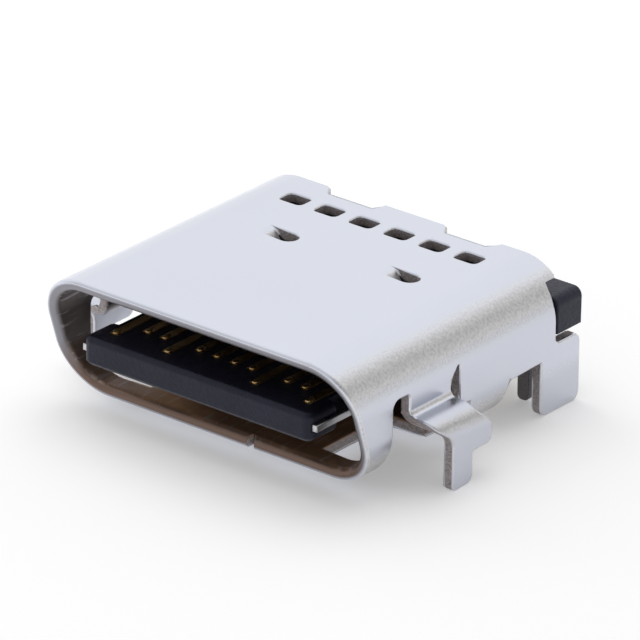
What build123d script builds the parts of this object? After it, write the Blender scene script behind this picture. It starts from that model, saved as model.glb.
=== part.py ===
"""A board-mounted USB-C socket: folded steel shell, moulded tongue, contacts, mid plate and ground plates.

The socket stands on its solder legs at z = 0, centred on its length and width. The plug enters along +Y.
Places along the socket are measured back from the mouth, and heights from the plug's axis.
"""
from math import cos, radians, sin
import os

from build123d import *

# Shell sheet and the opening that takes the plug
SHEET = 0.30
OPENING_WIDTH = 8.34
OPENING_HEIGHT = 2.56
CORNER_RADIUS = 1.26
MOUTH_LEAN = 18.0
RIM_ROUND = 0.09
LEAD_IN_ROUND = 0.19

# Shell, from its front ring back to the solder tails
RING_REAR = 1.06
WRAP_AHEAD_OF_TAILS = 0.16
WALL_AHEAD_OF_TAILS = 0.41
TOP_OVERHANG = 0.02
TAB_LENGTH = 0.38
WINDOW_RISE = 0.10
WINDOW_ROUND = 0.20
WINDOW_CROOK = 0.10
FOLD_BELOW = 0.07
WRAP_GAP = 0.30
WRAP_GAP_RISE = 0.24
WRAP_GAP_ROUND = 0.04
STRAP_WIDTH = 4.90
TAB_CLEAR = 0.08
TAB_GAP_BASES = ((-2.08, -0.84), (1.28, 2.39))
TAB_GAP_ENDS = ((-2.34, -0.74), (1.02, 2.60))
SEAM_WIDTH = 0.04
SEAM_PLACE = 0.87
SEAM_FLARE = 0.16
SEAM_LOCK_FROM_REAR = 1.35
SEAM_LOCK_LENGTH = 0.80
SEAM_LOCK_REACH = 0.45
SEAM_LOCK_UNDERCUT = 0.12

# Openings in the top of the shell
SLOT_PITCH = 1.0
SLOT_COUNT = 6
SLOT_LENGTH = 0.62
SLOT_DEPTH = 0.46
SLOTS_FROM_REAR = 0.67
SLOT_ROUND = 0.11
SLOT_POCKET = 0.64
FINGER_HOLES = (-1.54, 1.92)
FINGER_PLACE = 4.44
FINGER_LENGTH = 0.98
FINGER_WIDTH = 0.46
FINGER_SHEET = 0.18
FINGER_DROP = 0.40
FINGER_BEND = 0.30

# Solder legs and the board that they go through
BOARD_DROP = 0.50
FOOT_DROP = 1.85
FLANGE_GAP = 0.10
FLANGE_FRONT = 1.62
FLANGE_REAR = 3.08
FRONT_LEG_OUT = 0.83
FRONT_LEG_START = 2.13
FRONT_LEG_WIDTH = 0.69
FRONT_LEG_HEEL = 3.50
FLANGE_ROUND = 0.40
FLANGE_REAR_ROUND = 0.25
FRONT_TIP_ROUND = 0.20
FRONT_TIP_LEAD = 0.08
HEEL_LOW = 1.12
HEEL_ROUND = 0.20
HEEL_CROOK = 0.06
HEEL_CLEARANCE = 0.25
HEEL_NOTCH_MARGIN = 0.94
BEND_IN = 0.32
BEND_OUT = 0.38
REAR_LEG_WIDTH = 1.40
REAR_LEG_REACH = 0.88
REAR_LEG_TOP = 0.18
REAR_LEG_ROUND = 0.24
REAR_LEG_CROOK = 0.05
REAR_LEG_SHOULDER = 0.10

# Moulded tongue and body
TONGUE_THICKNESS = 0.70
TONGUE_MARGIN = 0.92
TONGUE_DROP = 0.10
TONGUE_AHEAD = 0.35
TIP_LENGTH = 0.95
TIP_ROUND = 0.23
TIP_BEVEL = 0.10
WAIST_DEPTH = 0.27
STEP_FRONT = 3.40
STEP_MARGIN = 0.57
STEP_THICKNESS = 1.30
BODY_FRONT = 4.30
BODY_CLEARANCE = 0.02
BLOCK_TOP = 0.88
BLOCK_OVERHANG = 0.50
BLOCK_ROUND = 0.22

# Contacts, two rows of twelve
CONTACT_PITCH = 0.50
CONTACTS_IN_ROW = 12
LONG_CONTACTS = ("01", "04", "09", "12")
CONTACT_WIDTH = 0.25
CONTACT_SHEET = 0.12
CONTACT_PROUD = 0.02
LONG_TIP = 0.10
SHORT_TIP = 0.61
TIP_CHAMFER = 0.07
CONTACT_BEND = 0.16
LOWER_JOGGLE = 5.36
JOGGLE_RUN = 0.30
LOWER_TAIL_LENGTH = 0.84
TAIL_ROW_GAP = 0.75
UPPER_TAIL_LENGTH = 0.85
TAIL_BELOW_SEAT = 0.05

# Mid plate inside the tongue, and the ground plates on its root
PLATE_SHEET = 0.18
PLATE_PROUD = 0.10
PLATE_AHEAD = 0.22
LATCH_FRONT = 1.95
LATCH_LENGTH = 1.10
LATCH_DEPTH = 0.28
PLATE_LEG_MARGIN = 0.40
PLATE_LEG_WIDTH = 0.32
PLATE_LEG_SHORT = 0.04
PLATE_LEG_ROUND = 0.128
GROUND_SHEET = 0.10
GROUND_BEND = 0.051
GROUND_LIP = 0.16

# Values that follow from the sizes above
shell_width = OPENING_WIDTH + 2 * SHEET
shell_height = OPENING_HEIGHT + 2 * SHEET
lean_sin = sin(radians(MOUTH_LEAN))
lean_cos = cos(radians(MOUTH_LEAN))
lip_sharp = shell_height / 2 * lean_sin / lean_cos
lip_reach = ((shell_height / 2 - RIM_ROUND) * lean_sin - RIM_ROUND) / lean_cos + RIM_ROUND
upper_drop = LOWER_JOGGLE + JOGGLE_RUN + LOWER_TAIL_LENGTH + TAIL_ROW_GAP
upper_tail_end = upper_drop + UPPER_TAIL_LENGTH
block_rear = upper_drop + BLOCK_OVERHANG
wrap_rear = LOWER_JOGGLE - WRAP_AHEAD_OF_TAILS
side_rear = upper_drop - WALL_AHEAD_OF_TAILS
top_rear = side_rear + TOP_OVERHANG
tab_rear = top_rear + TAB_LENGTH
rear_leg_rear = side_rear + REAR_LEG_REACH
rear_leg_front = rear_leg_rear - REAR_LEG_WIDTH
slot_place = side_rear - SLOTS_FROM_REAR
seam_lock_front = wrap_rear - SEAM_LOCK_FROM_REAR
mouth_y = (lip_reach - upper_tail_end) / 2
axis_z = FOOT_DROP
board_z = axis_z - BOARD_DROP
tongue_z = axis_z - TONGUE_DROP
shell_top = axis_z + shell_height / 2
shell_bottom = axis_z - shell_height / 2
wall_middle = shell_width / 2 - SHEET / 2
fold_start = shell_height / 2 - CORNER_RADIUS
fold_top = fold_start - FOLD_BELOW
window_top = fold_start + WINDOW_RISE
wrap_front = FLANGE_REAR + WRAP_GAP
wrap_gap_top = fold_start + WRAP_GAP_RISE
tab_low = OPENING_HEIGHT / 2 - TAB_CLEAR
tongue_width = OPENING_WIDTH - 2 * TONGUE_MARGIN
waist_width = tongue_width - 2 * WAIST_DEPTH
plate_width = tongue_width + 2 * PLATE_PROUD
step_width = OPENING_WIDTH - 2 * STEP_MARGIN
plate_leg_spread = OPENING_WIDTH - PLATE_LEG_WIDTH - 2 * PLATE_LEG_MARGIN
clear = shell_height


def behind(distance):
    """The y of a place that lies this far behind the mouth."""
    return mouth_y + distance


def section_at(y):
    """A cross-section plane on the plug's axis, with X to the right and Z up."""
    return Plane(origin=(0, y, axis_z), x_dir=(1, 0, 0), z_dir=(0, -1, 0))


def side_plane(x):
    """An upright plane along the socket, with local x along +Y and local y up from z = 0."""
    return Plane.YZ.offset(x)


os.makedirs("parts", exist_ok=True)

# Contacts: gold-plated strips, flat along the tongue, with a solder tail on the board


def make_contact(name, x, path, chamfer_up):
    """One contact, a strip of sheet that follows a path in the upright plane."""
    with BuildPart() as contact:
        with BuildSketch(side_plane(x - CONTACT_WIDTH / 2)):
            with BuildLine():
                FilletPolyline(*path, radius=CONTACT_BEND)
            trace(line_width=CONTACT_SHEET)
        extrude(amount=CONTACT_WIDTH)
        tip_edges = contact.faces().sort_by(Axis.Y)[0].edges().filter_by(Axis.X).sort_by(Axis.Z)
        chamfer(tip_edges[-1 if chamfer_up else 0], TIP_CHAMFER)
    contact.part.label = name
    return contact.part


contact_lift = TONGUE_THICKNESS / 2 + CONTACT_PROUD - CONTACT_SHEET / 2
tail_z = board_z - TAIL_BELOW_SEAT + CONTACT_SHEET / 2
contacts = []
for place in range(CONTACTS_IN_ROW):
    contact_x = (place - (CONTACTS_IN_ROW - 1) / 2) * CONTACT_PITCH
    number = f"{place + 1:02d}"
    tip_y = behind(LONG_TIP if number in LONG_CONTACTS else SHORT_TIP)
    upper_path = [
        (tip_y, tongue_z + contact_lift),
        (behind(upper_drop), tongue_z + contact_lift),
        (behind(upper_drop), tail_z),
        (behind(upper_tail_end), tail_z),
    ]
    lower_path = [
        (tip_y, tongue_z - contact_lift),
        (behind(LOWER_JOGGLE), tongue_z - contact_lift),
        (behind(LOWER_JOGGLE + JOGGLE_RUN), tail_z),
        (behind(upper_drop - TAIL_ROW_GAP), tail_z),
    ]
    contacts.append(make_contact(f"upper_contact_{number}", contact_x, upper_path, True))
    contacts.append(make_contact(f"lower_contact_{number}", contact_x, lower_path, False))

# Mid plate: steel sheet between the contact rows, with latch notches and two grounding legs

plate_front = behind(-PLATE_AHEAD)
plate_rear = behind(side_rear - PLATE_SHEET)
leg_x = plate_leg_spread / 2
with BuildPart() as mid_plate:
    with BuildSketch(Plane.XY.offset(tongue_z - PLATE_SHEET / 2)):
        with Locations((0, (plate_front + plate_rear) / 2)):
            Rectangle(plate_width, plate_rear - plate_front)
        with Locations((0, plate_rear - PLATE_LEG_WIDTH)):
            Rectangle(plate_leg_spread + PLATE_LEG_WIDTH, 2 * PLATE_LEG_WIDTH)
        with Locations(
            (plate_width / 2, behind(LATCH_FRONT + LATCH_LENGTH / 2)),
            (-plate_width / 2, behind(LATCH_FRONT + LATCH_LENGTH / 2)),
        ):
            RectangleRounded(2 * LATCH_DEPTH, LATCH_LENGTH, LATCH_DEPTH / 2, mode=Mode.SUBTRACT)
    extrude(amount=PLATE_SHEET)
    for leg_side in (-1, 1):
        with BuildSketch(side_plane(leg_side * leg_x - PLATE_LEG_WIDTH / 2)):
            with BuildLine():
                FilletPolyline(
                    (plate_rear - PLATE_LEG_WIDTH, tongue_z),
                    (plate_rear + PLATE_SHEET, tongue_z),
                    (plate_rear + PLATE_SHEET, PLATE_LEG_SHORT),
                    radius=PLATE_SHEET,
                )
            trace(line_width=PLATE_SHEET)
        extrude(amount=PLATE_LEG_WIDTH)
    leg_tips = mid_plate.edges().filter_by(Axis.Y).group_by(Axis.Z)[0]
    fillet(leg_tips, PLATE_LEG_ROUND)
mid_plate.part.label = "mid_plate"

# Ground plates: thin stamped sheet over and under the root of the tongue

ground_plates = []
for plate_name, up in (("upper_ground_plate", 1), ("lower_ground_plate", -1)):
    face_z = tongue_z + up * (STEP_THICKNESS + GROUND_SHEET) / 2
    lip_z = face_z - up * GROUND_LIP
    with BuildPart() as ground_plate:
        with BuildSketch(side_plane(-step_width / 2)):
            with BuildLine():
                FilletPolyline(
                    (behind(STEP_FRONT) - GROUND_SHEET / 2, lip_z),
                    (behind(STEP_FRONT) - GROUND_SHEET / 2, face_z),
                    (behind(BODY_FRONT), face_z),
                    radius=GROUND_BEND,
                )
            trace(line_width=GROUND_SHEET)
        extrude(amount=step_width)
    ground_plate.part.label = plate_name
    ground_plates.append(ground_plate.part)

# Housing: one black moulding that holds every contact, with its tongue, body and rear block

with BuildPart() as housing:
    with BuildSketch(Plane.XY.offset(tongue_z - TONGUE_THICKNESS / 2)):
        with Locations((0, behind((BODY_FRONT - TONGUE_AHEAD) / 2))):
            Rectangle(waist_width, BODY_FRONT + TONGUE_AHEAD)
        with Locations((0, behind(TIP_LENGTH / 2 - TONGUE_AHEAD))):
            Rectangle(tongue_width, TIP_LENGTH)
    extrude(amount=TONGUE_THICKNESS)
    tip_corners = housing.edges().filter_by(Axis.Z).group_by(Axis.Y)[0]
    fillet(tip_corners, TIP_ROUND)
    tip_face = housing.faces().filter_by(Axis.Y).sort_by(Axis.Y)[0]
    chamfer(tip_face.edges().filter_by(Axis.X), TIP_BEVEL)
    with BuildSketch(section_at(behind(STEP_FRONT))):
        with Locations((0, -TONGUE_DROP)):
            Rectangle(step_width, STEP_THICKNESS)
    extrude(amount=STEP_FRONT - BODY_FRONT)
    body_width = OPENING_WIDTH - 2 * BODY_CLEARANCE
    body_height = OPENING_HEIGHT - 2 * BODY_CLEARANCE
    body_radius = CORNER_RADIUS - SHEET - BODY_CLEARANCE
    with BuildSketch(section_at(behind(BODY_FRONT))):
        RectangleRounded(body_width, body_height, body_radius)
    extrude(amount=BODY_FRONT - side_rear - BODY_CLEARANCE)
    with Locations((0, behind((wrap_rear + rear_leg_rear) / 2), board_z)):
        Box(
            shell_width,
            rear_leg_rear - wrap_rear,
            clear,
            align=(Align.CENTER, Align.CENTER, Align.MAX),
            mode=Mode.SUBTRACT,
        )
    with BuildSketch(section_at(behind(side_rear + BODY_CLEARANCE))):
        with Locations((0, BLOCK_TOP / 2)):
            Rectangle(shell_width, BLOCK_TOP)
    block = extrude(amount=side_rear + BODY_CLEARANCE - block_rear)
    block_top_edges = block.edges().filter_by(Axis.Y).group_by(Axis.Z)[-1]
    fillet(block_top_edges, BLOCK_ROUND)
    with BuildSketch(Plane.XY.offset(axis_z + OPENING_HEIGHT / 2)):
        with Locations((0, behind(slot_place))):
            with GridLocations(SLOT_PITCH, 1, SLOT_COUNT, 1):
                Rectangle(SLOT_LENGTH, SLOT_DEPTH)
    extrude(amount=-SLOT_POCKET, mode=Mode.SUBTRACT)
    for finger_x in FINGER_HOLES:
        with Locations((finger_x, behind(FINGER_PLACE), axis_z + OPENING_HEIGHT / 2)):
            Box(
                FINGER_LENGTH,
                2 * FINGER_WIDTH,
                2 * (FINGER_DROP + FINGER_SHEET),
                mode=Mode.SUBTRACT,
            )
    for held in [*contacts, mid_plate.part, *ground_plates]:
        add(held, mode=Mode.SUBTRACT)
housing.part.label = "housing"

# Front leg: a flange folded out of the side wall, that turns down through the board

flange_z = board_z + FLANGE_GAP + SHEET / 2
leg_middle = wall_middle + FRONT_LEG_OUT
with BuildPart() as front_leg:
    with BuildSketch(Plane(origin=(0, behind(FLANGE_FRONT), 0), x_dir=(1, 0, 0), z_dir=(0, -1, 0))):
        with BuildLine():
            FilletPolyline(
                (wall_middle, axis_z + fold_start),
                (wall_middle, flange_z),
                (leg_middle, flange_z),
                (leg_middle, 0),
                radius=(BEND_IN, BEND_OUT),
            )
        trace(line_width=SHEET)
    extrude(amount=FLANGE_FRONT - FRONT_LEG_HEEL)
    neck_z = flange_z - BEND_OUT
    with BuildSketch(side_plane(0)):
        with BuildLine():
            FilletPolyline(
                (behind(FLANGE_FRONT), axis_z + fold_start),
                (behind(FLANGE_FRONT), flange_z),
                (behind(FRONT_LEG_START), neck_z),
                (behind(FRONT_LEG_START), 0),
                (behind(FRONT_LEG_START + FRONT_LEG_WIDTH), 0),
                (behind(FRONT_LEG_START + FRONT_LEG_WIDTH), axis_z - HEEL_LOW),
                (behind(FRONT_LEG_HEEL), axis_z - HEEL_LOW),
                (behind(FRONT_LEG_HEEL), neck_z),
                (behind(FLANGE_REAR), flange_z),
                (behind(FLANGE_REAR), axis_z + fold_start),
                radius=(
                    0,
                    FLANGE_ROUND,
                    FLANGE_ROUND,
                    FRONT_TIP_LEAD,
                    FRONT_TIP_ROUND,
                    HEEL_CROOK,
                    HEEL_ROUND,
                    FLANGE_ROUND,
                    FLANGE_REAR_ROUND,
                    0,
                ),
                close=True,
            )
        make_face()
    extrude(amount=shell_width, mode=Mode.INTERSECT)

# Shell: one sheet of plated steel, folded round into a tube and closed by a seam underneath

mouth_plane = Plane(
    origin=(0, mouth_y, axis_z),
    x_dir=(1, 0, 0),
    z_dir=(0, lean_cos, lean_sin),
)
with BuildPart() as shell:
    with BuildSketch(section_at(behind(-2 * lip_sharp))):
        RectangleRounded(shell_width, shell_height, CORNER_RADIUS)
        RectangleRounded(OPENING_WIDTH, OPENING_HEIGHT, CORNER_RADIUS - SHEET, mode=Mode.SUBTRACT)
    extrude(amount=-2 * lip_sharp - tab_rear)
    split(bisect_by=mouth_plane, keep=Keep.TOP)
    rim = shell.faces().sort_by(Axis.Y)[0]
    outer_rim = rim.outer_wire().edges()
    inner_rim = rim.inner_wires()[0].edges()
    fillet(inner_rim, LEAD_IN_ROUND)
    fillet(outer_rim, RIM_ROUND)
    for side in (-1, 1):
        with BuildSketch(side_plane(side * STRAP_WIDTH / 2)):
            with BuildLine():
                FilletPolyline(
                    (behind(RING_REAR), axis_z - clear),
                    (behind(RING_REAR), axis_z + window_top),
                    (behind(FLANGE_FRONT), axis_z + window_top),
                    (behind(FLANGE_FRONT), axis_z + fold_top),
                    (behind(FLANGE_REAR), axis_z + fold_top),
                    (behind(wrap_front), axis_z + wrap_gap_top),
                    (behind(wrap_front), axis_z - clear),
                    radius=(0, WINDOW_ROUND, WINDOW_CROOK, 0, 0, WRAP_GAP_ROUND, 0),
                    close=True,
                )
            make_face()
        extrude(amount=side * shell_width, mode=Mode.SUBTRACT)
        with Locations((side * (shell_width / 2 - HEEL_NOTCH_MARGIN), behind(FLANGE_REAR), board_z)):
            Box(
                shell_width,
                FRONT_LEG_HEEL + HEEL_CLEARANCE - FLANGE_REAR,
                clear,
                align=(Align.MIN if side > 0 else Align.MAX, Align.MIN, Align.MAX),
                mode=Mode.SUBTRACT,
            )
    with Locations((0, behind(wrap_rear), axis_z)):
        Box(
            2 * shell_width,
            tab_rear,
            clear,
            align=(Align.CENTER, Align.MIN, Align.MAX),
            mode=Mode.SUBTRACT,
        )
    with Locations((0, behind(side_rear), axis_z + tab_low)):
        Box(
            2 * shell_width,
            tab_rear,
            2 * clear,
            align=(Align.CENTER, Align.MIN, Align.MAX),
            mode=Mode.SUBTRACT,
        )
    for side in (-1, 1):
        with BuildSketch(side_plane(side * (shell_width / 2 - SHEET))):
            with BuildLine():
                FilletPolyline(
                    (behind(wrap_rear), axis_z),
                    (behind(wrap_rear), board_z),
                    (behind(rear_leg_front), board_z),
                    (behind(rear_leg_front), 0),
                    (behind(rear_leg_rear), 0),
                    (behind(rear_leg_rear), axis_z - REAR_LEG_TOP),
                    (behind(side_rear), axis_z - REAR_LEG_TOP),
                    (behind(side_rear), axis_z),
                    radius=(
                        0,
                        0,
                        REAR_LEG_CROOK,
                        REAR_LEG_ROUND,
                        REAR_LEG_ROUND,
                        REAR_LEG_ROUND,
                        REAR_LEG_SHOULDER,
                        0,
                    ),
                    close=True,
                )
            make_face()
        extrude(amount=side * SHEET)
    add(front_leg.part)
    mirror(front_leg.part, about=Plane.YZ)
    with BuildSketch(Plane.XY.offset(axis_z)):
        for (base_left, base_right), (end_left, end_right) in zip(TAB_GAP_BASES, TAB_GAP_ENDS):
            with BuildLine():
                Polyline(
                    (base_left, behind(top_rear)),
                    (base_right, behind(top_rear)),
                    (end_right, behind(tab_rear)),
                    (end_left, behind(tab_rear)),
                    close=True,
                )
            make_face()
    extrude(amount=clear, mode=Mode.SUBTRACT)
    with BuildSketch(Plane.XY.offset(axis_z)):
        with Locations((0, behind(slot_place))):
            with GridLocations(SLOT_PITCH, 1, SLOT_COUNT, 1):
                RectangleRounded(SLOT_LENGTH, SLOT_DEPTH, SLOT_ROUND)
        for finger_x in FINGER_HOLES:
            with Locations((finger_x, behind(FINGER_PLACE))):
                SlotOverall(FINGER_LENGTH, FINGER_WIDTH)
                Rectangle(FINGER_LENGTH / 2, FINGER_WIDTH, align=(Align.MAX, Align.CENTER))
    extrude(amount=clear, mode=Mode.SUBTRACT)
    for finger_x in FINGER_HOLES:
        finger_root = finger_x - FINGER_LENGTH / 2
        ramp_start = finger_root + SHEET / 2
        with BuildSketch(section_at(behind(FINGER_PLACE - FINGER_WIDTH / 2))):
            with BuildLine():
                FilletPolyline(
                    (finger_root - SHEET, shell_height / 2),
                    (ramp_start, shell_height / 2),
                    (finger_x, shell_height / 2 - FINGER_DROP),
                    (finger_x, shell_height / 2 - FINGER_DROP - FINGER_SHEET),
                    (ramp_start, OPENING_HEIGHT / 2),
                    (finger_root - SHEET, OPENING_HEIGHT / 2),
                    radius=(0, FINGER_BEND, 0, 0, FINGER_BEND, 0),
                    close=True,
                )
            make_face()
        extrude(amount=-FINGER_WIDTH)
    lock_x = SEAM_PLACE + SEAM_LOCK_REACH
    lock_rear = seam_lock_front + SEAM_LOCK_LENGTH
    with BuildSketch(Plane.XY.offset(shell_bottom - SHEET)):
        with BuildLine():
            Polyline(
                (SEAM_PLACE, mouth_y),
                (SEAM_PLACE, behind(seam_lock_front)),
                (lock_x, behind(seam_lock_front - SEAM_LOCK_UNDERCUT)),
                (lock_x, behind(lock_rear + SEAM_LOCK_UNDERCUT)),
                (SEAM_PLACE, behind(lock_rear)),
                (SEAM_PLACE, behind(wrap_rear + SHEET)),
            )
        trace(line_width=SEAM_WIDTH)
        with BuildLine():
            Polyline(
                (SEAM_PLACE - SEAM_FLARE, behind(lip_sharp - SEAM_FLARE / 2)),
                (SEAM_PLACE + SEAM_FLARE, behind(lip_sharp - SEAM_FLARE / 2)),
                (SEAM_PLACE + SEAM_WIDTH / 4, behind(lip_sharp + SEAM_FLARE)),
                (SEAM_PLACE - SEAM_WIDTH / 4, behind(lip_sharp + SEAM_FLARE)),
                close=True,
            )
        make_face()
    extrude(amount=3 * SHEET, mode=Mode.SUBTRACT)
shell.part.label = "shell"

for piece in [shell.part, housing.part, mid_plate.part, *ground_plates, *contacts]:
    export_step(piece, f"parts/{piece.label}.step")
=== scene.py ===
import math

import bmesh
import bpy
import numpy as np
from mathutils import Matrix, Vector, geometry


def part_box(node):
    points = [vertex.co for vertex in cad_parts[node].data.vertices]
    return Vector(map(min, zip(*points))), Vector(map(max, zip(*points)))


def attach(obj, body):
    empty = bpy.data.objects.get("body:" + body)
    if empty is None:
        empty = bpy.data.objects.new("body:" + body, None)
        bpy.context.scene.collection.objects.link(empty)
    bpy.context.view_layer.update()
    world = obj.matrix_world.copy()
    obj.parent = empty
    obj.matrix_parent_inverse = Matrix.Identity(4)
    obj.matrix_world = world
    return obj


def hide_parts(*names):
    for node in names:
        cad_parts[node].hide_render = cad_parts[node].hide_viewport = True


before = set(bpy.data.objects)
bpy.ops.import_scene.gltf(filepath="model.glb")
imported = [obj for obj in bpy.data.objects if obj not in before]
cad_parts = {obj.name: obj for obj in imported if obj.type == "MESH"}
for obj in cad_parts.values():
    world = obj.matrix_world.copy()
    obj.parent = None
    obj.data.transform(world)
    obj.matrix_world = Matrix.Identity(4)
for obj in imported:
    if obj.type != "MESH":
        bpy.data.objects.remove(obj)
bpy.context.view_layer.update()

# The housing is one black glass-filled moulding: the tongue that the plug slides over, the body inside the
# steel tube and the block behind it. Its skin is satin, with a fine mould texture and faint flow marks.


def start_material(name):
    """A new node material with its node tree and its shader, ready for more nodes."""
    material = bpy.data.materials.new(name)
    material.use_nodes = True
    tree = material.node_tree
    shader = tree.nodes["Principled BSDF"]
    return material, tree, shader


def grey(level):
    """A neutral colour, or a plain value for a socket that takes one."""
    return (level, level, level)


def add_ramp(tree, factor, *stops):
    """A colour ramp driven by a factor, with (place, colour) stops."""
    ramp = tree.nodes.new("ShaderNodeValToRGB")
    elements = ramp.color_ramp.elements
    while len(elements) < len(stops):
        elements.new(0.5)
    for element, (place, colour) in zip(elements, stops):
        element.position = place
        element.color = (*colour, 1.0)
    tree.links.new(factor, ramp.inputs["Fac"])
    return ramp.outputs["Color"]


NOISE_LOW = 0.3
NOISE_HIGH = 0.7


def add_tones(tree, noise, low_colour, high_colour):
    """A ramp from one colour to another, over the range that a noise mostly fills."""
    return add_ramp(tree, noise, (NOISE_LOW, low_colour), (NOISE_HIGH, high_colour))


def add_math(tree, operation, first, second=None):
    """A math node on two values, each of them a socket or a number."""
    node = tree.nodes.new("ShaderNodeMath")
    node.operation = operation
    for place, value in enumerate((first, second)):
        if value is None:
            continue
        if isinstance(value, (int, float)):
            node.inputs[place].default_value = value
        else:
            tree.links.new(value, node.inputs[place])
    return node.outputs["Value"]


def add_noise(tree, vector, scale, detail=4.0, roughness=0.55):
    """Noise over the object's own coordinates, in cycles per metre."""
    noise = tree.nodes.new("ShaderNodeTexNoise")
    noise.inputs["Scale"].default_value = scale
    noise.inputs["Detail"].default_value = detail
    noise.inputs["Roughness"].default_value = roughness
    tree.links.new(vector, noise.inputs["Vector"])
    return noise.outputs["Fac"]


def add_bump(tree, height, depth):
    """A bump from a height socket, with its depth in metres."""
    bump = tree.nodes.new("ShaderNodeBump")
    bump.inputs["Distance"].default_value = depth
    tree.links.new(height, bump.inputs["Height"])
    return bump.outputs["Normal"]


# The rounding of edges works in millimetres, and the finished meshes are in metres.
MM = 0.001
SHARP_TURN = math.radians(35.0)
FLAT_TURN = math.radians(0.8)
SAME_POINT = 0.0002
PLACE_DIGITS = 4
CROWN_LEAN_LIMIT = 0.4
HAIRLINE = 0.015
SKIN_MATERIAL = 0
CUT_MATERIAL = 1


def connected(faces, turn):
    """Groups of faces that meet at edges which turn by less than an angle."""
    waiting = set(faces)
    groups = []
    for first in faces:
        if first not in waiting:
            continue
        waiting.remove(first)
        group = [first]
        for face in group:
            for edge in face.edges:
                if edge.calc_face_angle(math.pi) > turn:
                    continue
                for neighbour in edge.link_faces:
                    if neighbour in waiting:
                        waiting.remove(neighbour)
                        group.append(neighbour)
        groups.append(group)
    return groups


def is_sliver(region, radius):
    """True of a region too narrow to take a rounded edge on both sides."""
    inside = set(region)
    border = [edge for face in region for edge in face.edges if not inside.issuperset(edge.link_faces)]
    around = sum(edge.calc_length() for edge in border)
    return sum(face.calc_area() for face in region) < around * radius


def place_of(vert):
    """A point's place, rounded so that points at one spot give the same answer."""
    return tuple(round(value, PLACE_DIGITS) for value in vert.co)


def find_crowns(shape, slivers, radius):
    """The steps that sink the points of sharp convex edges to the crown of the edge's round, by place."""
    left_sharp = {vert for region in slivers for face in region for vert in face.verts}
    crowns = {}
    for vert in shape.verts:
        sharp = [edge for edge in vert.link_edges if edge.calc_face_angle(0.0) > SHARP_TURN]
        if vert in left_sharp or not sharp or not all(edge.is_convex for edge in sharp):
            continue
        sides = []
        for face in vert.link_faces:
            if all(face.normal.angle(side) > SHARP_TURN for side in sides):
                sides.append(face.normal.copy())
        middle = sum(sides, Vector()).normalized()
        lean = max(min(middle.dot(side) for side in sides), CROWN_LEAN_LIMIT)
        crowns[place_of(vert)] = middle * (radius * (1.0 - 1.0 / lean))
    return crowns


def find_hairlines(slivers):
    """The moves that lay the points of hairline steps onto the longest edge of the step, by place."""
    moves = {}
    for region in slivers:
        edges = [edge for face in region for edge in face.edges]
        longest = max(edges, key=lambda edge: edge.calc_length())
        start, end = (vert.co.copy() for vert in longest.verts)
        gaps = {}
        for face in region:
            for vert in face.verts:
                nearest = geometry.intersect_point_line(vert.co, start, end)[0]
                gaps[place_of(vert)] = nearest - vert.co
        if max(gap.length for gap in gaps.values()) < HAIRLINE:
            moves.update(gaps)
    return moves


NO_LENGTH = 1e-12
AHEAD_LEAN = 0.3
AT_POINT = 1e-5
FAR_AWAY = 1000.0


def room_ahead(vert, way, starts, ends):
    """The distance from a point to the nearest edge that lies ahead of it in a direction."""
    point = np.array(vert.co)
    along = ends - starts
    share = ((point - starts) * along).sum(1) / np.maximum((along * along).sum(1), NO_LENGTH)
    gaps = starts + along * np.clip(share, 0.0, 1.0)[:, None] - point
    distances = np.linalg.norm(gaps, axis=1)
    ahead = (gaps @ np.array(way) > AHEAD_LEAN * distances) & (distances > AT_POINT)
    return distances[ahead].min(initial=FAR_AWAY)


BAND_SPREAD_LIMIT = 0.6
BAND_ROOM_SHARE = 0.4
TURNED_LEAN = 0.7
TURNED_SHRINK = 0.4
TURNED_ROUNDS = 4


def mark_band(shape, region, width, shares):
    """Insets a smooth region by an even width along its surface, and by less where it is narrow.

    The least share of the full width that a point got is kept in shares, by the point's place. The points
    of the inner line are returned.
    """
    inside = set(region)
    band = bmesh.ops.inset_region(shape, faces=region, thickness=0.0, use_boundary=True)["faces"]
    inwards = {}
    starts = []
    ends = []
    for face in band:
        face.material_index = SKIN_MATERIAL
        for loop in face.loops:
            inner = loop.link_loop_radial_next
            if inner.face not in inside:
                continue
            starts.append(inner.vert.co[:])
            ends.append(inner.link_loop_next.vert.co[:])
            along = (inner.link_loop_next.vert.co - inner.vert.co).normalized()
            for vert in loop.edge.verts:
                inwards.setdefault(vert, []).append(inner.face.normal.cross(along))
    if not inwards:
        return set()
    starts = np.array(starts)
    ends = np.array(ends)
    pushes = {}
    for vert, ways in inwards.items():
        spread = max(1.0 + ways[0].dot(ways[-1]), BAND_SPREAD_LIMIT)
        push = sum(ways, Vector()) * (2.0 * width / spread / len(ways))
        room = BAND_ROOM_SHARE * room_ahead(vert, push.normalized(), starts, ends)
        if push.length > room:
            push *= room / push.length
        pushes[vert] = push
    touched = [face for face in region if any(vert in pushes for vert in face.verts)]
    for check in range(TURNED_ROUNDS):
        for face in touched:
            corners = [vert.co + pushes.get(vert, Vector()) for vert in face.verts]
            if geometry.normal(corners).dot(face.normal) < TURNED_LEAN:
                for vert in face.verts:
                    if vert in pushes:
                        pushes[vert] *= TURNED_SHRINK
    for vert, push in pushes.items():
        place = place_of(vert)
        shares[place] = min(shares.get(place, 1.0), push.length / width)
        vert.co += push
    return set(pushes)


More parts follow.
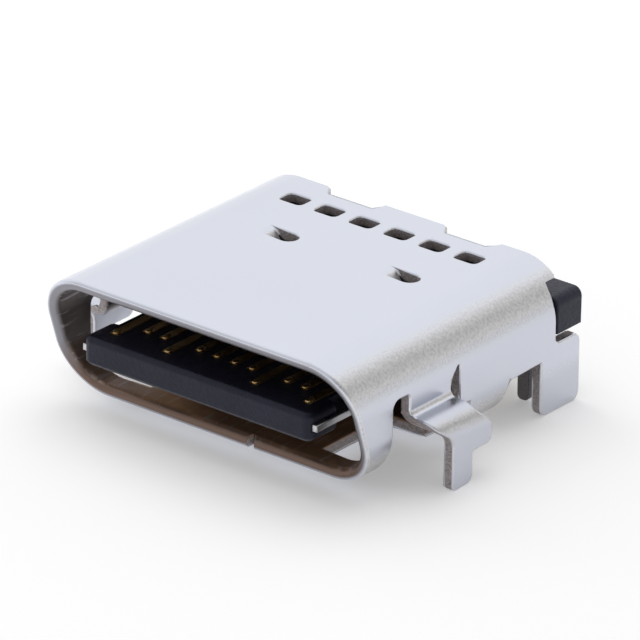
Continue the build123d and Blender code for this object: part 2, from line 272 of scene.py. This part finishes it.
def refill_flats(shape):
    """Fills each flat area again with well-shaped triangles, up to its edge and round its holes."""
    many_sided = [face for face in shape.faces if len(face.verts) > 4]
    for flat in connected(many_sided, FLAT_TURN):
        inside = set(flat)
        outline = []
        cuts = []
        for edge in dict.fromkeys(edge for face in flat for edge in face.edges):
            if sum(face in inside for face in edge.link_faces) == 1:
                outline.append(edge)
            else:
                cuts.append(edge)
        facing = flat[0].normal.copy()
        finish = flat[0].material_index
        bmesh.ops.delete(shape, geom=flat, context="FACES_ONLY")
        bmesh.ops.delete(shape, geom=cuts, context="EDGES")
        filled = bmesh.ops.triangle_fill(shape, edges=outline, use_beauty=True, normal=facing)["geom"]
        for face in filled:
            if isinstance(face, bmesh.types.BMFace):
                face.material_index = finish
                face.normal_update()
                if face.normal.dot(facing) < 0.0:
                    face.normal_flip()


def soften(node_name, piece_name, radius, true_normal=None):
    """A copy of a CAD node with its sharp edges rounded to a radius in millimetres.

    A band is marked off along each side of every sharp edge, and the edge is sunk to the crown of the round.
    Faces outside the largest smooth region, such as the cut edges of a sheet, get the second material.
    The shading follows the large faces, or true_normal where that gives a direction for a point.
    """
    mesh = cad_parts[node_name].data.copy()
    mesh.name = piece_name
    mesh.materials.clear()
    shape = bmesh.new()
    shape.from_mesh(mesh)
    bmesh.ops.scale(shape, vec=(1.0 / MM,) * 3, verts=shape.verts)
    bmesh.ops.remove_doubles(shape, verts=shape.verts, dist=SAME_POINT)
    bmesh.ops.dissolve_limit(shape, angle_limit=FLAT_TURN, verts=shape.verts, edges=shape.edges)
    shape.normal_update()
    regions = connected(shape.faces, SHARP_TURN)
    skin = max(regions, key=lambda region: sum(face.calc_area() for face in region))
    slivers = [region for region in regions if is_sliver(region, radius)]
    crowns = find_crowns(shape, slivers, radius)
    hairlines = find_hairlines(slivers)
    shares = {}
    banded = set()
    for region in regions:
        plain = region is skin or region in slivers
        for face in region:
            face.material_index = SKIN_MATERIAL if plain else CUT_MATERIAL
        if region not in slivers:
            banded |= mark_band(shape, region, radius, shares)
    for vert in shape.verts:
        place = place_of(vert)
        if vert not in banded and place in crowns:
            vert.co += crowns[place] * shares.get(place, 1.0)
    shape.normal_update()
    refill_flats(shape)
    for vert in shape.verts:
        vert.co += hairlines.get(place_of(vert), Vector())
    shape.normal_update()
    shading = []
    for vert in shape.verts:
        average = sum((face.normal * face.calc_area() for face in vert.link_faces), Vector()).normalized()
        exact = true_normal(vert.co, average) if true_normal else None
        shading.append(exact or average)
    bmesh.ops.scale(shape, vec=(MM,) * 3, verts=shape.verts)
    shape.to_mesh(mesh)
    shape.free()
    mesh.shade_smooth()
    mesh.normals_split_custom_set_from_vertices(shading)
    piece = bpy.data.objects.new(piece_name, mesh)
    bpy.context.scene.collection.objects.link(piece)
    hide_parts(node_name)
    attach(piece, "root")
    return piece


HOUSING_EDGE = 0.035
MOULD_GRAINS_PER_METRE = 10000.0
MOULD_GRAIN_DEPTH = 0.018 * MM
FLOW_MARKS_PER_METRE = 900.0
black_plastic, tree, shader = start_material("black_moulded_plastic")
coords = tree.nodes.new("ShaderNodeTexCoord").outputs["Object"]
mould_grain = add_noise(tree, coords, MOULD_GRAINS_PER_METRE, detail=5.0, roughness=0.7)
flow_marks = add_noise(tree, coords, FLOW_MARKS_PER_METRE, detail=5.0)
plastic_colour = add_tones(tree, flow_marks, (0.008, 0.008, 0.016), (0.015, 0.015, 0.031))
tree.links.new(plastic_colour, shader.inputs["Base Color"])
plastic_sheen = add_tones(tree, mould_grain, grey(0.36), grey(0.5))
tree.links.new(plastic_sheen, shader.inputs["Roughness"])
tree.links.new(add_bump(tree, mould_grain, MOULD_GRAIN_DEPTH), shader.inputs["Normal"])
shader.inputs["Specular IOR Level"].default_value = 0.34
shader.inputs["Specular Tint"].default_value = (0.80, 0.83, 1.0, 1.0)
moulding = soften("housing", "housing_moulding", HOUSING_EDGE)
moulding.data.materials.append(black_plastic)

# The contacts are strips of copper alloy, stamped and bent, then plated with nickel and gold. They lie in two
# rows, moulded into the tongue, each with a small bead coined into its tip. Their tails are soldered to the
# board.

CONTACTS_IN_ROW = 12
CONTACT_EDGE = 0.018
ROLLED_GRAINS_PER_METRE = 14000.0
ROLLED_GRAIN_DEPTH = 0.002 * MM
PLATING_TONES_PER_METRE = 1500.0
gold_plate, tree, shader = start_material("gold_plated_contact")
coords = tree.nodes.new("ShaderNodeTexCoord").outputs["Object"]
rolled_grain = add_noise(tree, coords, ROLLED_GRAINS_PER_METRE, detail=2.0)
plating_tone = add_noise(tree, coords, PLATING_TONES_PER_METRE)
gold_colour = add_tones(tree, plating_tone, (0.74, 0.50, 0.20), (0.90, 0.68, 0.34))
tree.links.new(gold_colour, shader.inputs["Base Color"])
gold_sheen = add_tones(tree, rolled_grain, grey(0.16), grey(0.26))
tree.links.new(gold_sheen, shader.inputs["Roughness"])
tree.links.new(add_bump(tree, rolled_grain, ROLLED_GRAIN_DEPTH), shader.inputs["Normal"])
shader.inputs["Metallic"].default_value = 1.0
BEAD_WIDTH = 0.18
BEAD_LENGTH = 0.24
BEAD_RISE = 0.035
BEAD_FROM_TIP = 0.16
BEAD_SIDES = 16
BEAD_RINGS = 8


def coin_bead(strip, row):
    """Raises a bead on the open side of a strip, close behind its tip."""
    points = [vert.co / MM for vert in strip.data.vertices]
    tip = min(point.y for point in points)
    near_tip = [point for point in points if point.y < tip + BEAD_FROM_TIP]
    open_side = max if row == "upper" else min
    face_height = open_side(point.z for point in near_tip)
    middle = sum(point.x for point in near_tip) / len(near_tip)
    place = Matrix.Translation(Vector((middle, tip + BEAD_FROM_TIP, face_height)) * MM)
    size = Matrix.Diagonal((BEAD_WIDTH / 2 * MM, BEAD_LENGTH / 2 * MM, BEAD_RISE * MM, 1.0))
    shape = bmesh.new()
    shape.from_mesh(strip.data)
    bead = bmesh.ops.create_uvsphere(
        shape, u_segments=BEAD_SIDES, v_segments=BEAD_RINGS, radius=1.0, matrix=place @ size
    )
    for face in {face for vert in bead["verts"] for face in vert.link_faces}:
        face.smooth = True
    shape.to_mesh(strip.data)
    shape.free()


for row in ("upper", "lower"):
    for number in range(1, CONTACTS_IN_ROW + 1):
        strip = soften(f"{row}_contact_{number:02d}", f"{row}_contact_strip_{number:02d}", CONTACT_EDGE)
        coin_bead(strip, row)
        strip.data.materials.append(gold_plate)

# The mid plate is a stamped steel sheet moulded into the middle of the tongue, where the plug's latches grip
# its notched edges. The ground plates lie over and under the tongue's root. All three are satin steel, and
# the mid plate's legs are darkened with painted shade.

PLATE_EDGE = 0.03
ROLL_LINES_PER_METRE = 16000.0
ROLL_LINE_DEPTH = 0.004 * MM
ROLL_LINE_STRETCH = 0.12
LEG_TOP = 1.5
LEG_PAINTED_SHADE = (0.22, 0.205, 0.21)
WHITE = grey(1.0)


def stretch_lengthwise(tree, coords, share):
    """Coordinates shortened along the plug's way in, which draws a texture out in that direction."""
    stretched = tree.nodes.new("ShaderNodeMapping")
    stretched.inputs["Scale"].default_value = (1.0, share, 1.0)
    tree.links.new(coords, stretched.inputs["Vector"])
    return stretched.outputs["Vector"]


def split_axes(tree, vector):
    """The parts of a vector socket, by the letter of the axis."""
    parts = tree.nodes.new("ShaderNodeSeparateXYZ")
    tree.links.new(vector, parts.inputs["Vector"])
    return parts.outputs


# The mix node has a socket of each name for every kind of value, so its colour sockets go by number.
MIX_FIRST_COLOUR = 6
MIX_SECOND_COLOUR = 7
MIX_COLOUR_OUT = 2


def add_mix(tree, factor, first, second, blend="MIX"):
    """Two colour sockets blended by a factor, or in full without one."""
    mix = tree.nodes.new("ShaderNodeMix")
    mix.data_type = "RGBA"
    mix.blend_type = blend
    if factor is None:
        mix.inputs["Factor"].default_value = 1.0
    else:
        tree.links.new(factor, mix.inputs["Factor"])
    tree.links.new(first, mix.inputs[MIX_FIRST_COLOUR])
    tree.links.new(second, mix.inputs[MIX_SECOND_COLOUR])
    return mix.outputs[MIX_COLOUR_OUT]


satin_steel, tree, shader = start_material("satin_steel_plate")
coords = tree.nodes.new("ShaderNodeTexCoord").outputs["Object"]
along_roll = stretch_lengthwise(tree, coords, ROLL_LINE_STRETCH)
roll_lines = add_noise(tree, along_roll, ROLL_LINES_PER_METRE, detail=3.0)
steel_tone = add_tones(tree, roll_lines, grey(0.52), (0.68, 0.68, 0.69))
# Painted shade: below the top of the legs the steel's colour is darkened, as the legs stand in shade under
# the socket.
leg_share = add_math(tree, "DIVIDE", split_axes(tree, coords)["Z"], LEG_TOP * MM)
leg_painted_shade = add_ramp(tree, leg_share, (0.80, LEG_PAINTED_SHADE), (1.0, WHITE))
tree.links.new(add_mix(tree, None, steel_tone, leg_painted_shade, "MULTIPLY"), shader.inputs["Base Color"])
steel_sheen = add_tones(tree, roll_lines, grey(0.26), grey(0.42))
tree.links.new(steel_sheen, shader.inputs["Roughness"])
tree.links.new(add_bump(tree, roll_lines, ROLL_LINE_DEPTH), shader.inputs["Normal"])
shader.inputs["Metallic"].default_value = 1.0
for plate in ("mid_plate", "upper_ground_plate", "lower_ground_plate"):
    sheet_piece = soften(plate, plate + "_sheet", PLATE_EDGE)
    sheet_piece.data.materials.append(satin_steel)

# The shell is one sheet of stainless steel, stamped, folded round into a tube and plated with nickel. Its
# flats are smooth and satin, the folds have a fine pebbled skin from the bending, and the cut edges are
# darker and rougher. The inside is rougher, and its colours are painted: painted shade on the walls and a
# painted brown reflection on the floor. The rim at the mouth, the sideways faces and the ears carry painted
# shade too.

SHELL_EDGE = 0.06
SHEET = 0.30
TUBE_WIDTH = 8.94
TUBE_HEIGHT = 3.16
TUBE_CORNER = 1.26
ON_SURFACE = 0.002
SAME_WAY = 0.9
shell_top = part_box("shell")[1].z / MM
tube_axis = Vector((0.0, 0.0, shell_top - TUBE_HEIGHT / 2))
tube_core = Vector((TUBE_WIDTH / 2 - TUBE_CORNER, 0.0, TUBE_HEIGHT / 2 - TUBE_CORNER))


def tube_normal(point, average):
    """The exact direction of the tube's outer or inner face at a point on it, and None elsewhere."""
    offset = point - tube_axis
    beyond_x = math.copysign(max(abs(offset.x) - tube_core.x, 0.0), offset.x)
    beyond_z = math.copysign(max(abs(offset.z) - tube_core.z, 0.0), offset.z)
    outward = Vector((beyond_x, 0.0, beyond_z))
    depth = TUBE_CORNER - outward.length
    if abs(depth) > ON_SURFACE and abs(depth - SHEET) > ON_SURFACE:
        return None
    outward.normalize()
    if depth > SHEET / 2:
        outward.negate()
    return outward if outward.dot(average) > SAME_WAY else None


def add_vector_math(tree, operation, first, second=None):
    """A vector math node on a socket and, if given, a constant vector."""
    node = tree.nodes.new("ShaderNodeVectorMath")
    node.operation = operation
    tree.links.new(first, node.inputs[0])
    if second is not None:
        node.inputs[1].default_value = second
    return node.outputs["Value" if operation == "LENGTH" else "Vector"]


# Where a point lies: its depth in the sheet, its height in the tube and the way it faces.
BLACK = grey(0.0)
ACROSS_TUBE = (1.0, 0.0, 1.0)
plated_steel, tree, shader = start_material("plated_steel")
coords = tree.nodes.new("ShaderNodeTexCoord").outputs["Object"]
from_axis = add_vector_math(tree, "SUBTRACT", coords, tube_axis * MM)
across = add_vector_math(tree, "ABSOLUTE", add_vector_math(tree, "MULTIPLY", from_axis, ACROSS_TUBE))
past_core = add_vector_math(tree, "SUBTRACT", across, tube_core * MM)
beyond = add_vector_math(tree, "MAXIMUM", past_core, (0.0, 0.0, 0.0))
from_outside = add_math(tree, "SUBTRACT", TUBE_CORNER * MM, add_vector_math(tree, "LENGTH", beyond))
depth_share = add_math(tree, "DIVIDE", from_outside, SHEET * MM)
above_axis = add_math(tree, "DIVIDE", split_axes(tree, from_axis)["Z"], TUBE_HEIGHT * MM)
height_share = add_math(tree, "ADD", above_axis, 0.5)
above_floor = add_ramp(tree, height_share, (0.12, BLACK), (0.40, WHITE))
close_to_top = add_ramp(tree, height_share, (0.70, BLACK), (0.76, WHITE))
facing = split_axes(tree, tree.nodes.new("ShaderNodeNewGeometry").outputs["Normal"])
facing_up = add_ramp(tree, facing["Z"], (0.05, BLACK), (0.25, WHITE))
sideways = add_math(tree, "ABSOLUTE", facing["X"])

# Which part of the sheet that is: a pressed finger, the cut rim, the inside, a fold or one of the ears.
not_finger = add_math(tree, "SUBTRACT", 1.0, add_math(tree, "MULTIPLY", facing_up, close_to_top))
in_sheet = add_ramp(tree, depth_share, (0.14, BLACK), (0.38, WHITE))
in_rim = add_math(tree, "MULTIPLY", in_sheet, not_finger)
past_sheet = add_ramp(tree, depth_share, (0.75, BLACK), (0.97, WHITE))
inside = add_math(tree, "MULTIPLY", past_sheet, not_finger)
on_fold = add_ramp(tree, sideways, (0.45, BLACK), (0.70, WHITE), (0.88, WHITE), (0.99, grey(0.05)))
on_ears = add_ramp(tree, add_math(tree, "MULTIPLY", depth_share, -1.0), (0.1, BLACK), (0.6, WHITE))

# The skin's fine shape and its colours, from the outside in.
PEBBLES_PER_METRE = 15000.0
PEBBLE_DEPTH = 0.007 * MM
DRIFTS_PER_METRE = 260.0
INSIDE_MOTTLES_PER_METRE = 1400.0
RUB_MARKS_PER_METRE = 9000.0
RUB_MARK_STRETCH = 0.08
pebble = add_noise(tree, coords, PEBBLES_PER_METRE, detail=3.0, roughness=0.6)
pebbled = add_math(tree, "MULTIPLY", on_fold, add_math(tree, "SUBTRACT", 1.0, in_rim))
pebble_height = add_math(tree, "MULTIPLY", pebble, pebbled)
tree.links.new(add_bump(tree, pebble_height, PEBBLE_DEPTH), shader.inputs["Normal"])
drift = add_noise(tree, coords, DRIFTS_PER_METRE, detail=3.0)
flat_colour = add_tones(tree, drift, (0.69, 0.715, 0.798), (0.71, 0.735, 0.818))
fold_colour = add_ramp(
    tree, pebble, (0.32, (0.64, 0.63, 0.63)), (0.55, (0.77, 0.765, 0.775)), (0.70, (0.84, 0.835, 0.85))
)
bare_colour = add_mix(tree, on_fold, flat_colour, fold_colour)
# Painted shade: faces that turn sideways, on the folds and the side walls, are darkened, as they mirror the
# shadowed table beside the socket.
side_painted_shade = add_ramp(
    tree, sideways, (0.60, WHITE), (0.79, grey(0.80)),
    (0.90, (0.92, 0.92, 0.91)), (0.99, (0.86, 0.855, 0.855)),
)
# Painted shade: the ears outside the tube are made a little darker.
ear_painted_shade = add_ramp(tree, on_ears, (0.0, WHITE), (1.0, (0.93, 0.925, 0.925)))
outer_painted_shade = add_mix(tree, None, side_painted_shade, ear_painted_shade, "MULTIPLY")
outer_colour = add_mix(tree, None, bare_colour, outer_painted_shade, "MULTIPLY")
# The rim's cut steel is darker than the skin. Its darkening and browning towards the bottom is painted shade.
rim_steel_and_shade = add_ramp(tree, above_floor, (0.0, (0.185, 0.128, 0.104)), (1.0, (0.275, 0.27, 0.295)))
edged_colour = add_mix(tree, in_rim, outer_colour, rim_steel_and_shade)
# Painted shade and painted reflection: the walls inside are dark as painted shade, and the floor inside is
# brown as a painted reflection of the tongue and its contacts above it, with a random mottle in both.
inside_mottle = add_noise(tree, coords, INSIDE_MOTTLES_PER_METRE, detail=5.0)
floor_painted_reflection = add_tones(tree, inside_mottle, (0.38, 0.25, 0.18), (0.50, 0.35, 0.27))
wall_painted_shade = add_tones(tree, inside_mottle, (0.12, 0.10, 0.097), (0.19, 0.165, 0.16))
inside_painted_shade = add_mix(tree, above_floor, floor_painted_reflection, wall_painted_shade)
plug_way = stretch_lengthwise(tree, coords, RUB_MARK_STRETCH)
rub_marks = add_noise(tree, plug_way, RUB_MARKS_PER_METRE, roughness=0.6)
rubbed = add_ramp(tree, rub_marks, (0.56, BLACK), (0.70, grey(0.55)))
inner_colour = add_mix(tree, rubbed, inside_painted_shade, flat_colour)
tree.links.new(add_mix(tree, inside, edged_colour, inner_colour), shader.inputs["Base Color"])

# The sheen of the same parts, and the inside's duller metal.
INSIDE_DULLNESS = 0.25
flat_satin = add_tones(tree, drift, grey(0.19), grey(0.25))
fold_satin = add_tones(tree, pebble, grey(0.28), grey(0.38))
dull = add_math(tree, "MAXIMUM", add_math(tree, "MAXIMUM", on_fold, in_rim), on_ears)
outer_satin = add_mix(tree, dull, flat_satin, fold_satin)
inner_satin = add_tones(tree, pebble, grey(0.36), grey(0.50))
tree.links.new(add_mix(tree, inside, outer_satin, inner_satin), shader.inputs["Roughness"])
lost_metal = add_math(tree, "MULTIPLY", inside, INSIDE_DULLNESS)
tree.links.new(add_math(tree, "SUBTRACT", 1.0, lost_metal), shader.inputs["Metallic"])

# The cut edges, torn by the shear.
TEARS_PER_METRE = 20000.0
TEAR_DEPTH = 0.006 * MM
sheared_steel, tree, shader = start_material("sheared_steel_edge")
coords = tree.nodes.new("ShaderNodeTexCoord").outputs["Object"]
tear_marks = add_noise(tree, coords, TEARS_PER_METRE)
shear_colour = add_tones(tree, tear_marks, (0.28, 0.24, 0.235), (0.58, 0.53, 0.53))
tree.links.new(shear_colour, shader.inputs["Base Color"])
tree.links.new(add_bump(tree, tear_marks, TEAR_DEPTH), shader.inputs["Normal"])
shader.inputs["Metallic"].default_value = 0.6
shader.inputs["Roughness"].default_value = 0.60

# The rim of the mouth is a cut edge too, but it is smooth and has the skin's material.
RIM_REACH = 0.10 * MM
shell = soften("shell", "shell_sheet", SHELL_EDGE, tube_normal)
shell.data.materials.append(plated_steel)
shell.data.materials.append(sheared_steel)
mouth = min(vert.co.y for vert in shell.data.vertices)
for face in shell.data.polygons:
    if face.center.y < mouth + RIM_REACH:
        face.material_index = SKIN_MATERIAL

# The socket stands on a white studio table, on the ends of its four legs. The table looks white to the camera
# and in the steel, and it keeps the socket's soft shadow.

TABLE_SIZE = 0.6
TABLE_GLOW = 0.30
half = TABLE_SIZE / 2
table_corners = [(-half, -half, 0.0), (half, -half, 0.0), (half, half, 0.0), (-half, half, 0.0)]
table_mesh = bpy.data.meshes.new("table")
table_mesh.from_pydata(table_corners, [], [(0, 1, 2, 3)])
table = bpy.data.objects.new("table", table_mesh)
bpy.context.scene.collection.objects.link(table)


def seen_by_camera_or_mirror(tree):
    """One for rays from the camera, a mirror or a clear body, and zero for other light."""
    rays = tree.nodes.new("ShaderNodeLightPath")
    mirrored = add_math(tree, "MAXIMUM", rays.outputs["Is Glossy Ray"], rays.outputs["Is Transmission Ray"])
    return add_math(tree, "MAXIMUM", rays.outputs["Is Camera Ray"], mirrored)


table_white, tree, shader = start_material("white_table")
shader.inputs["Base Color"].default_value = (0.80, 0.80, 0.81, 1.0)
shader.inputs["Roughness"].default_value = 0.8
shader.inputs["Specular IOR Level"].default_value = 0.1
shader.inputs["Emission Color"].default_value = (1.0, 1.0, 1.0, 1.0)
glow = add_math(tree, "MULTIPLY", seen_by_camera_or_mirror(tree), TABLE_GLOW)
tree.links.new(glow, shader.inputs["Emission Strength"])
table_mesh.materials.append(table_white)

# The studio is a pale room, greyer in front and towards the right, most of all above the horizon there. Two
# large soft lamps hang overhead and at the left. The steel mirrors the room and not the lamps.

AMBIENT = 0.60
DARKEST_ROOM = 0.25
scene = bpy.context.scene
scene.view_settings.view_transform = "Standard"
world = bpy.data.worlds.new("pale_room")
scene.world = world
world.use_nodes = True
tree = world.node_tree
backdrop = tree.nodes["Background"]
backdrop.inputs["Color"].default_value = (1.0, 1.0, 1.0, 1.0)
direction = split_axes(tree, tree.nodes.new("ShaderNodeTexCoord").outputs["Generated"])
grey_right = add_ramp(tree, direction["X"], (0.2, BLACK), (0.6, WHITE))
grey_above = add_ramp(tree, direction["Z"], (0.1, grey(0.2)), (0.38, grey(0.4)))
to_front = add_math(tree, "MULTIPLY", direction["Y"], -1.0)
grey_front = add_ramp(tree, to_front, (0.05, BLACK), (0.6, grey(0.3)))
grey_parts = add_math(tree, "ADD", add_math(tree, "MULTIPLY", grey_right, grey_above), grey_front)
room_white = add_math(tree, "MAXIMUM", add_math(tree, "SUBTRACT", 1.0, grey_parts), DARKEST_ROOM)
extra_light = add_math(tree, "MULTIPLY", seen_by_camera_or_mirror(tree), 1.0 - AMBIENT)
room_light = add_math(tree, "ADD", extra_light, AMBIENT)
tree.links.new(add_math(tree, "MULTIPLY", room_white, room_light), backdrop.inputs["Strength"])

LAMP_SIZE = 0.16
LAMP_POWER = 0.10
SOCKET_MIDDLE = Vector((0.0, 0.0, 0.0017))
for name, offset in (
    ("overhead_lamp", Vector((-0.03, 0.02, 0.16))),
    ("left_lamp", Vector((-0.16, 0.01, 0.10))),
):
    lamp = bpy.data.lights.new(name, "AREA")
    lamp.shape = "SQUARE"
    lamp.size = LAMP_SIZE
    lamp.energy = LAMP_POWER
    holder = bpy.data.objects.new(name, lamp)
    holder.location = SOCKET_MIDDLE + offset
    holder.rotation_euler = (-offset).to_track_quat("-Z", "Y").to_euler()
    holder.visible_glossy = False
    scene.collection.objects.link(holder)

# The camera stands to the right of the mouth and above it, far off, with a long lens. Its place and its lens
# were fitted to the photo's own edges. Lengths are in metres, and the lens is given in pixels of the picture.

CAMERA_AZIMUTH = math.radians(38.956)
CAMERA_ELEVATION = math.radians(24.600)
CAMERA_ROLL = math.radians(0.536)
CAMERA_DISTANCE = 0.175236
CAMERA_TARGET = Vector((0.000428, -0.000343, 0.002219))
LENS_PIXELS = 7901.19
FRAME_PIXELS = 640.0
SENSOR_WIDTH = 36.0
NEAREST_SEEN = 0.01
FARTHEST_SEEN = 10.0
back = Vector((
    math.sin(CAMERA_AZIMUTH) * math.cos(CAMERA_ELEVATION),
    -math.cos(CAMERA_AZIMUTH) * math.cos(CAMERA_ELEVATION),
    math.sin(CAMERA_ELEVATION),
))
level_right = Vector((math.cos(CAMERA_AZIMUTH), math.sin(CAMERA_AZIMUTH), 0.0))
level_up = back.cross(level_right)
right = math.cos(CAMERA_ROLL) * level_right + math.sin(CAMERA_ROLL) * level_up
up = back.cross(right)
lens = bpy.data.cameras.new("camera")
lens.sensor_width = SENSOR_WIDTH
lens.lens = LENS_PIXELS * SENSOR_WIDTH / FRAME_PIXELS
lens.clip_start = NEAREST_SEEN
lens.clip_end = FARTHEST_SEEN
camera = bpy.data.objects.new("camera", lens)
turn = Matrix((right, up, back)).transposed().to_4x4()
camera.matrix_world = Matrix.Translation(CAMERA_TARGET + CAMERA_DISTANCE * back) @ turn
scene.collection.objects.link(camera)
scene.camera = camera
